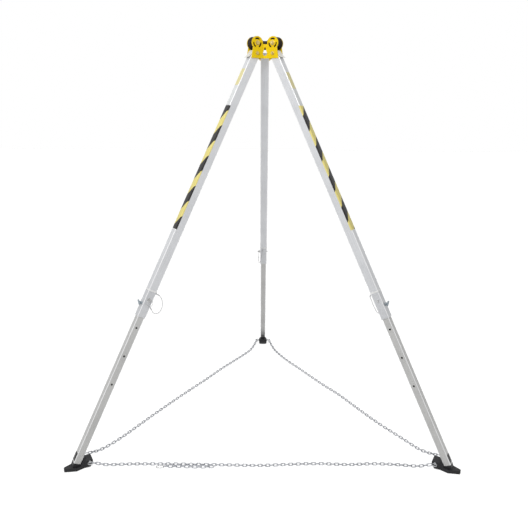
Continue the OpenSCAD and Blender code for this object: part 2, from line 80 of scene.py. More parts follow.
# Studio: a wide white floor under a white world, with a soft lamp beside the camera on the left
# and a weak one above, and the camera at the photograph's place. The floor is half clear to the
# camera, because a folded leg is longer than the head is high and reaches below it.
floor_size = 60
floor_colour = (0.9, 0.9, 0.9, 1)
floor_glow = 0.68
floor_clear = 0.55
ambient_strength = 0.41
lamps = {
    "key_lamp": {"place": (-1.0, -2.7, 3.3), "aim": (0, 0, 1.7), "size": 1.2, "power": 50},
    "top_lamp": {"place": (-0.5, -0.5, 5.4), "aim": (0, 0, 0), "size": 2.5, "power": 30},
}
camera_offset = Vector((-0.00675, -3.40512, 2.00716))
camera_yaw = 0.00281
camera_pitch = -0.26598
camera_roll = 0.00679
picture_size = 528
focal_pixels = 543.8
sensor_width = 36


def deselect():
    bpy.ops.object.select_all(action="DESELECT")


def camera_sees(nodes, links):
    """Light Path sums: 1 for camera, glossy and transmission rays, 0 for the rest."""
    path = nodes.new("ShaderNodeLightPath")
    both = nodes.new("ShaderNodeMath")
    both.operation = "MAXIMUM"
    links.new(path.outputs["Is Camera Ray"], both.inputs[0])
    links.new(path.outputs["Is Glossy Ray"], both.inputs[1])
    three = nodes.new("ShaderNodeMath")
    three.operation = "MAXIMUM"
    links.new(both.outputs[0], three.inputs[0])
    links.new(path.outputs["Is Transmission Ray"], three.inputs[1])
    return three.outputs[0]


deselect()
bpy.ops.mesh.primitive_plane_add(size=floor_size, location=tripod_axis)
floor = bpy.context.object
floor.name = "studio_floor"
floor_material = bpy.data.materials.new("white_floor")
floor_material.use_nodes = True
floor_nodes = floor_material.node_tree.nodes
floor_links = floor_material.node_tree.links
floor_nodes.clear()
floor_matt = floor_nodes.new("ShaderNodeBsdfDiffuse")
floor_matt.inputs["Color"].default_value = floor_colour
floor_light = floor_nodes.new("ShaderNodeEmission")
floor_share = floor_nodes.new("ShaderNodeMath")
floor_share.operation = "MULTIPLY"
floor_share.inputs[1].default_value = floor_glow
floor_seen = camera_sees(floor_nodes, floor_links)
floor_links.new(floor_seen, floor_share.inputs[0])
floor_links.new(floor_share.outputs[0], floor_light.inputs["Strength"])
floor_sum = floor_nodes.new("ShaderNodeAddShader")
floor_links.new(floor_matt.outputs[0], floor_sum.inputs[0])
floor_links.new(floor_light.outputs[0], floor_sum.inputs[1])
floor_through = floor_nodes.new("ShaderNodeMath")
floor_through.operation = "MULTIPLY"
floor_through.inputs[1].default_value = floor_clear
floor_links.new(floor_seen, floor_through.inputs[0])
floor_mix = floor_nodes.new("ShaderNodeMixShader")
floor_links.new(floor_through.outputs[0], floor_mix.inputs["Fac"])
floor_links.new(floor_sum.outputs[0], floor_mix.inputs[1])
floor_links.new(floor_nodes.new("ShaderNodeBsdfTransparent").outputs[0], floor_mix.inputs[2])
floor_out = floor_nodes.new("ShaderNodeOutputMaterial")
floor_links.new(floor_mix.outputs[0], floor_out.inputs["Surface"])
floor.data.materials.append(floor_material)

world = bpy.data.worlds.new("white_world")
bpy.context.scene.world = world
world.use_nodes = True
world_nodes = world.node_tree.nodes
world_links = world.node_tree.links
background = world_nodes["Background"]
background.inputs["Color"].default_value = (1, 1, 1, 1)
world_strength = world_nodes.new("ShaderNodeMapRange")
world_strength.inputs["To Min"].default_value = ambient_strength
world_strength.inputs["To Max"].default_value = 1
world_links.new(camera_sees(world_nodes, world_links), world_strength.inputs["Value"])
world_links.new(world_strength.outputs["Result"], background.inputs["Strength"])

for name, lamp in lamps.items():
    place = tripod_axis + Vector(lamp["place"])
    aim = tripod_axis + Vector(lamp["aim"])
    bpy.ops.object.light_add(type="AREA", location=place)
    light = bpy.context.object
    light.name = name
    light.data.energy = lamp["power"]
    light.data.size = lamp["size"]
    light.rotation_euler = (aim - place).to_track_quat("-Z", "Y").to_euler()

bpy.ops.object.camera_add(location=tripod_axis + camera_offset)
camera = bpy.context.object
camera.name = "photo_camera"
camera.data.sensor_width = sensor_width
camera.data.lens = focal_pixels / picture_size * sensor_width
looking = Vector((math.sin(camera_yaw) * math.cos(camera_pitch),
                  math.cos(camera_yaw) * math.cos(camera_pitch), math.sin(camera_pitch)))
level_turn = looking.to_track_quat("-Z", "Y")
camera.rotation_euler = (level_turn @ Quaternion((0, 0, 1), camera_roll)).to_euler()
bpy.context.scene.camera = camera
bpy.context.scene.view_settings.view_transform = "Standard"

# Floor chains: welded steel link chain, hot-dip galvanised, from foot to foot along the floor.
# Each link is a bent bar, and neighbours lie a quarter turn from each other, leaning both ways.
link_width = 0.0195
link_wire = 0.0057
link_pitch = 0.0228
link_lean = 43
link_play = 4
link_segments = 12
bar_segments = 5
link_seed = 7
galvanised_light = (0.48, 0.49, 0.52)
galvanised_dark = (0.25, 0.26, 0.28)
crystal_scale = 260
chain_routes = {
    "front": ((-0.990, -0.6365, 0.039), (-0.968, -0.632, 0.033), (-0.930, -0.621, 0.018),
              (-0.880, -0.609, 0.009), (-0.760, -0.601, 0.008), (-0.600, -0.599, 0.008),
              (-0.420, -0.601, 0.008), (-0.220, -0.605, 0.008), (0.010, -0.608, 0.008),
              (0.170, -0.596, 0.008), (0.330, -0.589, 0.008), (0.520, -0.596, 0.008),
              (0.650, -0.588, 0.008), (0.790, -0.594, 0.008), (0.882, -0.606, 0.009),
              (0.930, -0.621, 0.018), (0.968, -0.632, 0.033), (0.990, -0.6365, 0.039)),
    "tail": ((-0.5795, -0.620, 0.008), (-0.490, -0.622, 0.008), (-0.380, -0.626, 0.008),
             (-0.290, -0.622, 0.008)),
    "left": ((-0.056, 1.176, 0.039), (-0.066, 1.148, 0.033), (-0.084, 1.098, 0.018),
             (-0.106, 1.045, 0.009), (-0.225, 0.843, 0.008), (-0.330, 0.678, 0.008),
             (-0.440, 0.486, 0.008), (-0.550, 0.304, 0.008), (-0.660, 0.118, 0.008),
             (-0.760, -0.060, 0.008), (-0.850, -0.226, 0.008), (-0.926, -0.360, 0.008),
             (-0.982, -0.440, 0.009), (-1.015, -0.487, 0.018), (-1.036, -0.522, 0.033),
             (-1.0475, -0.5385, 0.039)),
    "right": ((1.0475, -0.5385, 0.039), (1.036, -0.522, 0.033), (1.014, -0.487, 0.018),
              (0.978, -0.440, 0.009), (0.900, -0.320, 0.008), (0.790, -0.154, 0.008),
              (0.700, 0.002, 0.008), (0.640, 0.112, 0.008), (0.560, 0.258, 0.008),
              (0.475, 0.385, 0.008), (0.390, 0.524, 0.008), (0.300, 0.676, 0.008),
              (0.200, 0.840, 0.008), (0.104, 1.045, 0.009), (0.084, 1.098, 0.018),
              (0.066, 1.148, 0.033), (0.056, 1.176, 0.039)),
}
chain_bodies = {"front": "left", "tail": "left", "left": "back", "right": "right"}
chain_step = 0.004
eye_grip = 0.0075


def new_material(name, colour, metallic, roughness):
    material = bpy.data.materials.new(name)
    material.use_nodes = True
    shader = material.node_tree.nodes["Principled BSDF"]
    shader.inputs["Base Color"].default_value = (*colour, 1)
    shader.inputs["Metallic"].default_value = metallic
    shader.inputs["Roughness"].default_value = roughness
    return material


def add_node(material, kind, **inputs):
    node = material.node_tree.nodes.new(kind)
    for name, value in inputs.items():
        node.inputs[name].default_value = value
    return node


def object_place(material):
    return add_node(material, "ShaderNodeTexCoord").outputs["Object"]


def stretched(material, place, scale):
    mapping = add_node(material, "ShaderNodeMapping", Scale=scale)
    material.node_tree.links.new(place, mapping.inputs["Vector"])
    return mapping.outputs["Vector"]


def noise(material, place, scale, detail=3):
    texture = add_node(material, "ShaderNodeTexNoise", Scale=scale, Detail=detail)
    material.node_tree.links.new(place, texture.inputs["Vector"])
    return texture.outputs["Fac"]


def between(material, share, low, high, start=0.3, end=0.7):
    """A value from low to high as share goes from start to end."""
    span = add_node(material, "ShaderNodeMapRange")
    span.inputs["From Min"].default_value = start
    span.inputs["From Max"].default_value = end
    span.inputs["To Min"].default_value = low
    span.inputs["To Max"].default_value = high
    material.node_tree.links.new(share, span.inputs["Value"])
    return span.outputs["Result"]


def two_colours(material, share, first, second, start=0.3, end=0.7):
    """A colour from first to second as share goes from start to end."""
    ramp = add_node(material, "ShaderNodeValToRGB")
    ramp.color_ramp.elements[0].position = start
    ramp.color_ramp.elements[0].color = (*first, 1)
    ramp.color_ramp.elements[1].position = end
    ramp.color_ramp.elements[1].color = (*second, 1)
    material.node_tree.links.new(share, ramp.inputs["Fac"])
    return ramp.outputs["Color"]


def set_input(material, name, socket):
    shader = material.node_tree.nodes["Principled BSDF"]
    material.node_tree.links.new(socket, shader.inputs[name])


def add_bump(material, height, strength, depth):
    bump = add_node(material, "ShaderNodeBump", Strength=strength, Distance=depth)
    material.node_tree.links.new(height, bump.inputs["Height"])
    set_input(material, "Normal", bump.outputs["Normal"])


def galvanised(name, light, dark):
    """Zinc coat: grey crystals a few millimetres wide, dull and a little uneven."""
    material = new_material(name, light, metallic=0.75, roughness=0.42)
    place = object_place(material)
    crystals = add_node(material, "ShaderNodeTexVoronoi", Scale=crystal_scale)
    material.node_tree.links.new(place, crystals.inputs["Vector"])
    grey = add_node(material, "ShaderNodeRGBToBW")
    material.node_tree.links.new(crystals.outputs["Color"], grey.inputs["Color"])
    set_input(material, "Base Color", two_colours(material, grey.outputs[0], dark, light, start=0.1, end=0.6))
    set_input(material, "Roughness", between(material, noise(material, place, scale=90), low=0.34, high=0.55))
    add_bump(material, noise(material, place, scale=800), strength=0.12, depth=0.0004)
    return material


def only(piece):
    deselect()
    piece.select_set(True)
    bpy.context.view_layer.objects.active = piece


def smooth_line(points, step):
    """Points a step apart on a smooth curve through the given points."""
    gaps = [(points[i + 1] - points[i]).length for i in range(len(points) - 1)]
    slopes = [(points[i + 1] - points[i]) / gaps[i] for i in range(len(gaps))]
    tangents = [slopes[0]]
    for i in range(1, len(gaps)):
        tangents.append((slopes[i] * gaps[i - 1] + slopes[i - 1] * gaps[i]) / (gaps[i] + gaps[i - 1]))
    tangents.append(slopes[-1])
    line = []
    for i, gap in enumerate(gaps):
        count = max(2, round(gap / step))
        for k in range(count):
            t = k / count
            place = (2 * t ** 3 - 3 * t ** 2 + 1) * points[i] + (3 * t ** 2 - 2 * t ** 3) * points[i + 1]
            bend = (t ** 3 - 2 * t ** 2 + t) * tangents[i] + (t ** 3 - t ** 2) * tangents[i + 1]
            line.append(place + bend * gap)
    line.append(points[-1])
    return line


def line_lengths(line):
    lengths = [0.0]
    for a, b in zip(line, line[1:]):
        lengths.append(lengths[-1] + (b - a).length)
    return lengths


def point_on(line, lengths, distance):
    for i in range(1, len(line)):
        if lengths[i] >= distance or i == len(line) - 1:
            share = (distance - lengths[i - 1]) / (lengths[i] - lengths[i - 1])
            return line[i - 1].lerp(line[i], share)


def make_link():
    """One link: a ring of bar stretched into a long eye, lying along x."""
    bow = link_width / 2 - link_wire / 2
    stretch = (link_pitch + 2 * link_wire) / 2 - bow - link_wire / 2
    deselect()
    half_step = math.pi / link_segments
    bpy.ops.mesh.primitive_torus_add(major_segments=link_segments, minor_segments=bar_segments,
                                     major_radius=bow, minor_radius=link_wire / 2,
                                     rotation=(0, 0, half_step))
    bpy.ops.object.transform_apply(rotation=True)
    link = bpy.context.object
    link.name = "link_pattern"
    bpy.ops.object.mode_set(mode="EDIT")
    for sign in (1, -1):
        bpy.ops.mesh.select_all(action="DESELECT")
        bpy.ops.object.mode_set(mode="OBJECT")
        for vertex in link.data.vertices:
            vertex.select = vertex.co.x * sign > 0
        bpy.ops.object.mode_set(mode="EDIT")
        bpy.ops.transform.translate(value=(sign * stretch, 0, 0))
    bpy.ops.object.mode_set(mode="OBJECT")
    bpy.ops.object.shade_smooth()
    return link


def joined(pieces, name):
    deselect()
    for piece in pieces:
        piece.select_set(True)
    bpy.context.view_layer.objects.active = pieces[0]
    bpy.ops.object.join()
    whole = bpy.context.object
    whole.name = name
    whole.data.name = name
    return whole


def linked_chain(name, line, pattern, draw):
    lengths = line_lengths(line)
    count = int(lengths[-1] / link_pitch)
    spacing = lengths[-1] / count
    links = []
    for i in range(count):
        start = point_on(line, lengths, i * spacing)
        end = point_on(line, lengths, (i + 1) * spacing)
        along = (end - start).normalized()
        side = along.cross(Vector((0, 0, 1))).normalized()
        over = side.cross(along)
        lean = math.radians((link_lean if i % 2 else -link_lean) + draw.uniform(-link_play, link_play))
        normal = over * math.cos(lean) + side * math.sin(lean)
        placed = Matrix((along, normal.cross(along), normal)).transposed().to_4x4()
        placed.translation = (start + end) / 2
        link = bpy.data.objects.new(name + "_link", pattern.data.copy())
        link.data.transform(placed)
        bpy.context.scene.collection.objects.link(link)
        links.append(link)
    return joined(links, name)


galvanised_chain = galvanised("galvanised_chain", galvanised_light, galvanised_dark)
link_pattern = make_link()
link_draw = random.Random(link_seed)
for run, route in chain_routes.items():
    points = [tripod_axis + Vector(point) for point in route]
    if run != "tail":
        points[0] += (points[0] - points[1]).normalized() * eye_grip
    line = smooth_line(points, chain_step)
    lowest = min(point.z for point in points)
    for point in line:
        point.z = max(point.z, lowest)
    chain = linked_chain("chain_" + run + "_links", line, link_pattern, link_draw)
    chain.data.materials.clear()
    chain.data.materials.append(galvanised_chain)
    body = "lower_leg_" + chain_bodies[run]
    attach(chain, body)
    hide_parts("chain_front" if run == "tail" else "chain_" + run)
    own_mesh(chain)
bpy.data.objects.remove(link_pattern)

# Snap hook: a steel spring hook on the front chain's spare end, which takes up the length.
# It lies flat on the floor and is made as one closed oval of bar, without its gate.
hook_low, hook_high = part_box("chain_hook")
hook_wire = hook_high.z - hook_low.z
hook_middle = (hook_low + hook_high) / 2
hook_half_length = (hook_high.x - hook_low.x) / 2
hook_half_width = (hook_high.y - hook_low.y) / 2
hook_segments = 24
hook_light = (0.66, 0.66, 0.66)
hook_dark = (0.46, 0.47, 0.48)

deselect()
hook_bow = hook_half_width - hook_wire / 2
bpy.ops.mesh.primitive_torus_add(major_segments=hook_segments, minor_segments=10, major_radius=hook_bow,
                                 minor_radius=hook_wire / 2, rotation=(0, 0, math.pi / hook_segments))
bpy.ops.object.transform_apply(rotation=True)
hook = bpy.context.object
hook.name = "snap_hook"
for vertex in hook.data.vertices:
    vertex.co.x += math.copysign(hook_half_length - hook_half_width, vertex.co.x)
    vertex.co += hook_middle
bpy.ops.object.shade_smooth()
galvanised_steel = galvanised("galvanised_steel", hook_light, hook_dark)
hook.data.materials.append(galvanised_steel)
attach(hook, "lower_leg_left")
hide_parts("chain_hook")

# Head plates: three folded steel plates, powder coated yellow, bolted together through the legs
# and the roller axles. The edges are broken and the coat is thin on them.
paint_yellow = (0.90, 0.645, 0.001)
paint_deep = (0.85, 0.58, 0.001)
paint_edge = (0.92, 0.72, 0.03)
plate_edge = 0.0009
merge_gap = 0.00001
flat_angle = math.radians(0.5)
smooth_angle = math.radians(35)


def softened(node, name, width, limit=30, segments=2, edge_material=0):
    """A copy of a CAD node with its corners merged and its sharp edges rounded."""
    mesh = frame["nodes"][node].data.copy()
    mesh.name = name
    mesh.materials.clear()
    piece = bpy.data.objects.new(name, mesh)
    bpy.context.scene.collection.objects.link(piece)
    only(piece)
    bpy.ops.object.mode_set(mode="EDIT")
    bpy.ops.mesh.select_all(action="SELECT")
    bpy.ops.mesh.remove_doubles(threshold=merge_gap)
    bpy.ops.mesh.dissolve_limited(angle_limit=flat_angle)
    bpy.ops.object.mode_set(mode="OBJECT")
    edges = piece.modifiers.new("broken_edges", "BEVEL")
    edges.width = width
    edges.segments = segments
    edges.limit_method = "ANGLE"
    edges.angle_limit = math.radians(limit)
    edges.use_clamp_overlap = False
    edges.material = edge_material
    bpy.ops.object.modifier_apply(modifier=edges.name)
    bpy.ops.object.shade_smooth_by_angle(angle=smooth_angle)
    flats = piece.modifiers.new("flat_faces", "WEIGHTED_NORMAL")
    flats.keep_sharp = True
    bpy.ops.object.modifier_apply(modifier=flats.name)
    return piece


def take_place_of(piece, node, body, slot, *materials):
    for material in materials:
        piece.data.materials.append(material)
    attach(piece, body)
    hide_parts(node)


def painted(name, colour, deep, roughness, gloss):
    """Powder coat: a slightly uneven colour with a fine orange-peel skin."""
    material = new_material(name, colour, metallic=0, roughness=roughness)
    shader = material.node_tree.nodes["Principled BSDF"]
    shader.inputs["Specular IOR Level"].default_value = gloss
    place = object_place(material)
    patches = noise(material, place, scale=14)
    sheen = noise(material, place, scale=60)
    peel = noise(material, place, scale=420, detail=1)
    set_input(material, "Base Color", two_colours(material, patches, colour, deep))
    set_input(material, "Roughness", between(material, sheen, roughness - 0.06, roughness + 0.06))
    add_bump(material, peel, strength=0.1, depth=0.0006)
    return material


yellow_paint = painted("yellow_paint", paint_yellow, paint_deep, roughness=0.36, gloss=0.2)
yellow_edges = painted("yellow_edges", paint_edge, paint_yellow, roughness=0.4, gloss=0.25)
for side in ("front", "left", "right"):
    plate = softened("head_plate_" + side, "folded_plate_" + side, plate_edge, edge_material=1)
    take_place_of(plate, "head_plate_" + side, "head", "yellow_paint", yellow_paint, yellow_edges)

# Leg stop plates: bright aluminium strips between the wings, flared where an open leg rests.
# Each is a flat strip with a curved flare below it, between the wings of two head plates.
# The aluminium colours carry a warm tint, a painted reflection of the yellow head plates round them.
stop_plate_light_yellow_reflection = (0.80, 0.78, 0.72)
stop_plate_dull_yellow_reflection = (0.66, 0.65, 0.60)
stop_edge = 0.0005


def drawn_lines(material, place, roughness):
    """Fine lines in the gloss and the skin of a metal."""
    lines = noise(material, place, scale=900, detail=2)
    set_input(material, "Roughness", between(material, lines, roughness - 0.07, roughness + 0.07))
    add_bump(material, lines, strength=0.06, depth=0.0002)


def brushed(name, light, dark, metallic, roughness):
    """Satin metal: fine drawn lines, soft patches and a slightly uneven gloss."""
    material = new_material(name, light, metallic, roughness)
    place = object_place(material)
    drawn_lines(material, place, roughness)
    patches = noise(material, place, scale=7)
    set_input(material, "Base Color", two_colours(material, patches, dark, light, start=0.25, end=0.6))
    return material


stop_aluminium = brushed("stop_aluminium", stop_plate_light_yellow_reflection, stop_plate_dull_yellow_reflection, metallic=0.5, roughness=0.38)
for leg in LEGS:
    stop = softened("stop_plate_" + leg, "leg_stop_" + leg, stop_edge)
    take_place_of(stop, "stop_plate_" + leg, "head", "plate_aluminium", stop_aluminium)

# Head bolts: zinc plated flange bolts and nuts, the legs' hinges and the rollers' axles.
# Each goes through two plates, with its nut on the far side.
plated_light = (0.72, 0.58, 0.22)
plated_dark = (0.52, 0.40, 0.12)
bolt_edge = 0.0005
plated_bolts = brushed("plated_bolts", plated_light, plated_dark, metallic=0.7, roughness=0.35)
for node, name in (("axle_bolts", "roller_axle_bolts"), ("hinge_bolts", "leg_hinge_bolts")):
    bolts = softened(node, name, bolt_edge)
    take_place_of(bolts, node, "head", "plated_bolts", plated_bolts)

# Rope rollers: black nylon, turned with a groove for the rope,
# on bronze bushes that turn on the axle bolts.
nylon_black = (0.014, 0.008, 0.003)
nylon_worn = (0.030, 0.020, 0.010)
roller_edge = 0.0005
bronze_light = (0.55, 0.38, 0.16)
bronze_dark = (0.42, 0.28, 0.11)


def moulded(name, colour, worn, roughness, grain_scale, grain_depth, gloss=0.45):
    """Plastic, rubber or paint over a casting: a fine grain with rubbed patches."""
    material = new_material(name, colour, metallic=0, roughness=roughness)
    material.node_tree.nodes["Principled BSDF"].inputs["Specular IOR Level"].default_value = gloss
    place = object_place(material)
    rubbed = noise(material, place, scale=22)
    sheen = noise(material, place, scale=70)
    set_input(material, "Base Color", two_colours(material, rubbed, colour, worn, start=0.4, end=0.75))
    set_input(material, "Roughness", between(material, sheen, roughness - 0.08, roughness + 0.08))
    add_bump(material, noise(material, place, grain_scale), strength=0.25, depth=grain_depth)
    return material


black_nylon = moulded("black_nylon", nylon_black, nylon_worn, roughness=0.5, grain_scale=700,
                      grain_depth=0.0004, gloss=0.2)
bush_bronze = brushed("bush_bronze", bronze_light, bronze_dark, metallic=0.9, roughness=0.35)
for leg in LEGS:
    roller = softened("roller_" + leg, "rope_roller_" + leg, roller_edge)
    take_place_of(roller, "roller_" + leg, "roller_unit_" + leg, "black_nylon", black_nylon)
    frame["nodes"]["roller_bush_" + leg].data.materials.clear()
    frame["nodes"]["roller_bush_" + leg].data.materials.append(bush_bronze)

# Upper legs: 50 mm square aluminium tube, anodised, with a solid block at the hinge.
# The drawn lines run along the tube, so its material reads each point's place on the leg.
upper_light = (0.72, 0.73, 0.75)
upper_dull = (0.66, 0.67, 0.69)
# painted highlight: a near-white colour for the tubes' round corners, in place of the lamp's gleam along them
painted_corner_highlight = (0.95, 0.95, 0.96)
tube_half = 0.025
tube_corner = 0.004
corner_margin = 0.0001
along_tube = (1, 1, 0.006)
tube_edge = 0.0004
block_light = (0.6, 0.6, 0.6)
block_dark = (0.5, 0.5, 0.5)


def keep_leg_place(piece, leg, half):
    """Stores each point's place in the leg's own frame, and 1 where it lies on a round corner, where the tube
    gets a painted highlight.
    """
    piece.data.attributes.new("leg_place", "FLOAT_VECTOR", "POINT")
    piece.data.attributes.new("corner_highlight_mask", "FLOAT", "POINT")
    places = piece.data.attributes["leg_place"].data
    corners = piece.data.attributes["corner_highlight_mask"].data
    back = leg_frames[leg].inverted()
    flat = half - tube_corner + corner_margin
    for vertex, place, corner in zip(piece.data.vertices, places, corners):
        point = back @ vertex.co
        place.vector = point
        corner.value = 1 if min(abs(point.x), abs(point.y)) > flat else 0


def attribute_of(material, name, output):
    node = add_node(material, "ShaderNodeAttribute")
    node.attribute_name = name
    return node.outputs[output]


def mixed(material, share, first, second):
    """A colour from first to second, each a socket or a plain colour, as share goes from 0 to 1."""
    mix = add_node(material, "ShaderNodeMix")
    mix.data_type = "RGBA"
    material.node_tree.links.new(share, mix.inputs["Factor"])
    for name, colour in (("A", first), ("B", second)):
        socket = [each for each in mix.inputs if each.name == name and each.type == "RGBA"][0]
        if isinstance(colour, tuple):
            socket.default_value = (*colour, 1)
        else:
            material.node_tree.links.new(colour, socket)
    return [each for each in mix.outputs if each.type == "RGBA"][0]


def drawn_tube(name, light, dull, roughness):
    """Drawn aluminium: lines along the tube, soft patches, and a painted highlight on the round corners."""
    material = new_material(name, light, metallic=0.2, roughness=roughness)
    place = attribute_of(material, "leg_place", "Vector")
    drawn_lines(material, stretched(material, place, along_tube), roughness)
    patches = two_colours(material, noise(material, place, scale=7), dull, light, start=0.25, end=0.6)
    # painted highlight: the round corners take the near-white colour
    wear_and_highlight = attribute_of(material, "corner_highlight_mask", "Fac")
    set_input(material, "Base Color", mixed(material, wear_and_highlight, patches, painted_corner_highlight))
    return material


upper_aluminium = drawn_tube("upper_aluminium", upper_light, upper_dull, roughness=0.32)
plain_aluminium = brushed("plain_aluminium", block_light, block_dark, metallic=0.6, roughness=0.4)
for leg in LEGS:
    tube = softened("upper_tube_" + leg, "upper_leg_tube_" + leg, tube_edge)
    keep_leg_place(tube, leg, tube_half)
    take_place_of(tube, "upper_tube_" + leg, "upper_leg_" + leg, "upper_aluminium", upper_aluminium)
    frame["nodes"]["hinge_block_" + leg].data.materials.clear()
    frame["nodes"]["hinge_block_" + leg].data.materials.append(plain_aluminium)

# Hazard tape and label places: self-adhesive films on the outer face of each upper tube, lapped
# over its corners. The tape has black and yellow diagonals; the two films above it are blank.
film_thickness = 0.0004
film_margin = 0.001
tape_lap = 0.004
label_half = 0.021
tape_span = (-1.117, -0.339)
yellow_label_span = {"left": (-0.211, -0.109), "right": (-0.232, -0.130), "back": (-0.211, -0.109)}
white_label_span = {"left": (-0.333, -0.215), "right": (-0.333, -0.236), "back": (-0.333, -0.215)}
stripe_period = 0.190
film_gloss = 0.2
stripe_slope = 1.2
yellow_share = 0.5
stripe_edge = 0.022
stripe_start = {"left": 0.038, "right": 0.095, "back": 0.060}
tape_yellow = (0.88, 0.78, 0.28)
tape_black = (0.018, 0.017, 0.018)
yellow_worn = (0.84, 0.72, 0.23)
black_worn = (0.032, 0.030, 0.030)
wear_stretch = (1, 1, 0.2)
label_yellow = (0.82, 0.74, 0.36)
label_white = (0.80, 0.82, 0.82)
label_fade = 0.9
end_face = 0.9


def cut_away(place, direction):
    """Cuts the mesh in edit mode by a plane and drops what lies against the direction."""
    bpy.ops.mesh.select_all(action="SELECT")
    bpy.ops.mesh.bisect(plane_co=place, plane_no=direction, clear_inner=True)


def skin_of(node, leg, name, span, sides, thickness):
    """A skin over part of a square tube's outside, in the leg's own frame.

    It covers the span along the leg, from x = sides[0] out to the outer face, and no further
    across than sides[1] either way.
    """
    mesh = frame["nodes"][node + leg].data.copy()
    mesh.transform(leg_frames[leg].inverted())
    mesh.materials.clear()
    piece = bpy.data.objects.new(name, mesh)
    bpy.context.scene.collection.objects.link(piece)
    only(piece)
    bpy.ops.object.mode_set(mode="EDIT")
    bpy.ops.mesh.select_all(action="SELECT")
    bpy.ops.mesh.remove_doubles(threshold=merge_gap)
    cut_away((0, 0, span[0]), (0, 0, 1))
    cut_away((0, 0, span[1]), (0, 0, -1))
    cut_away((sides[0], 0, 0), (1, 0, 0))
    for side in (1, -1):
        cut_away((0, -side * sides[1], 0), (0, side, 0))
    bpy.ops.mesh.select_mode(type="FACE")
    bpy.ops.mesh.select_all(action="DESELECT")
    bpy.ops.object.mode_set(mode="OBJECT")
    for face in mesh.polygons:
        outwards = face.normal.x * face.center.x + face.normal.y * face.center.y
        face.select = outwards <= 0 or abs(face.normal.z) > end_face
    bpy.ops.object.mode_set(mode="EDIT")
    bpy.ops.mesh.delete(type="FACE")
    bpy.ops.mesh.select_all(action="SELECT")
    bpy.ops.mesh.dissolve_limited(angle_limit=flat_angle)
    bpy.ops.object.mode_set(mode="OBJECT")
    wall = piece.modifiers.new("wall", "SOLIDIFY")
    wall.thickness = thickness
    wall.offset = 1
    wall.use_even_offset = True
    bpy.ops.object.modifier_apply(modifier=wall.name)
    bpy.ops.object.shade_smooth_by_angle(angle=smooth_angle)
    return piece


def unrolled(place):
    """How far round the tube a point lies from the middle of the outer face."""
    flat = tube_half - tube_corner
    across = abs(place.y)
    if place.x < flat:
        across = flat + tube_corner * math.pi / 2 + flat - place.x
    elif across > flat:
        across = flat + tube_corner * math.atan2(across - flat, place.x - flat)
    return math.copysign(across, place.y)


def set_on_leg(film, leg):
    """Keeps each point's place on the unrolled film and sets the film on its leg."""
    rolled = film.data.attributes.new("film_place", "FLOAT_VECTOR", "POINT")
    for vertex, place in zip(film.data.vertices, rolled.data):
        place.vector = (0, unrolled(vertex.co), vertex.co.z)
    film.data.transform(leg_frames[leg])


def math_node(material, operation, first, second):
    node = add_node(material, "ShaderNodeMath")
    node.operation = operation
    for i, value in enumerate((first, second)):
        if isinstance(value, (int, float)):
            node.inputs[i].default_value = value
        else:
            material.node_tree.links.new(value, node.inputs[i])
    return node.outputs[0]


def hazard_tape(leg):
    material = new_material("hazard_tape_" + leg, tape_yellow, metallic=0, roughness=0.42)
    material.node_tree.nodes["Principled BSDF"].inputs["Specular IOR Level"].default_value = film_gloss
    place = attribute_of(material, "film_place", "Vector")
    parts = add_node(material, "ShaderNodeSeparateXYZ")
    material.node_tree.links.new(place, parts.inputs["Vector"])
    skewed = math_node(material, "MULTIPLY", parts.outputs["Y"], stripe_slope)
    height = math_node(material, "SUBTRACT", skewed, parts.outputs["Z"])
    first = tape_span[1] - stripe_start[leg] - stripe_slope * stripe_edge
    below = math_node(material, "ADD", height, first)
    turns = math_node(material, "FRACT", math_node(material, "DIVIDE", below, stripe_period), 0)
    wear_and_highlight = noise(material, stretched(material, place, wear_stretch), scale=160)
    yellow = two_colours(material, wear_and_highlight, tape_yellow, yellow_worn)
    black = two_colours(material, wear_and_highlight, tape_black, black_worn)
    stripe = math_node(material, "GREATER_THAN", turns, yellow_share)
    set_input(material, "Base Color", mixed(material, stripe, yellow, black))
    set_input(material, "Roughness", between(material, wear_and_highlight, low=0.36, high=0.5))
    add_bump(material, noise(material, place, scale=300), strength=0.05, depth=0.0003)
    return material


def blank_label(name, colour):
    material = new_material(name, colour, metallic=0, roughness=0.4)
    place = object_place(material)
    faded = tuple(label_fade * value for value in colour)
    set_input(material, "Base Color", two_colours(material, noise(material, place, scale=40), colour, faded))
    add_bump(material, noise(material, place, scale=300), strength=0.05, depth=0.0003)
    return material


tape_side = tube_half - tube_corner - tape_lap
past_tube = tube_half + film_margin
yellow_film = blank_label("yellow_film", label_yellow)
white_film = blank_label("white_film", label_white)
for leg in LEGS:
    for name, span, half, material in (("hazard_tape_", tape_span, past_tube, hazard_tape(leg)),
                                       ("yellow_label_", yellow_label_span[leg], label_half, yellow_film),
                                       ("white_label_", white_label_span[leg], label_half, white_film)):
        film = skin_of("upper_tube_", leg, name + leg, span, (tape_side, half), film_thickness)
        set_on_leg(film, leg)
        film.data.materials.append(material)
        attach(film, "upper_leg_" + leg)

# Lower legs: 42 mm square tube that slides in the upper one, with a row of pin holes
# and a nylon plug in its top end. It is drawn aluminium, a little darker than the upper tube.
lower_light = (0.58, 0.58, 0.57)
lower_dull = (0.52, 0.52, 0.51)
lower_half = 0.021
glide_black = (0.03, 0.03, 0.03)
glide_worn = (0.05, 0.05, 0.05)
lower_aluminium = drawn_tube("lower_aluminium", lower_light, lower_dull, roughness=0.34)
glide_nylon = moulded("glide_nylon", glide_black, glide_worn, roughness=0.5, grain_scale=700,
                      grain_depth=0.0004)
for leg in LEGS:
    tube = softened("lower_tube_" + leg, "lower_leg_tube_" + leg, tube_edge)
    keep_leg_place(tube, leg, lower_half)
    take_place_of(tube, "lower_tube_" + leg, "lower_leg_" + leg, "lower_aluminium", lower_aluminium)
    frame["nodes"]["glide_plug_" + leg].data.materials.clear()
    frame["nodes"]["glide_plug_" + leg].data.materials.append(glide_nylon)

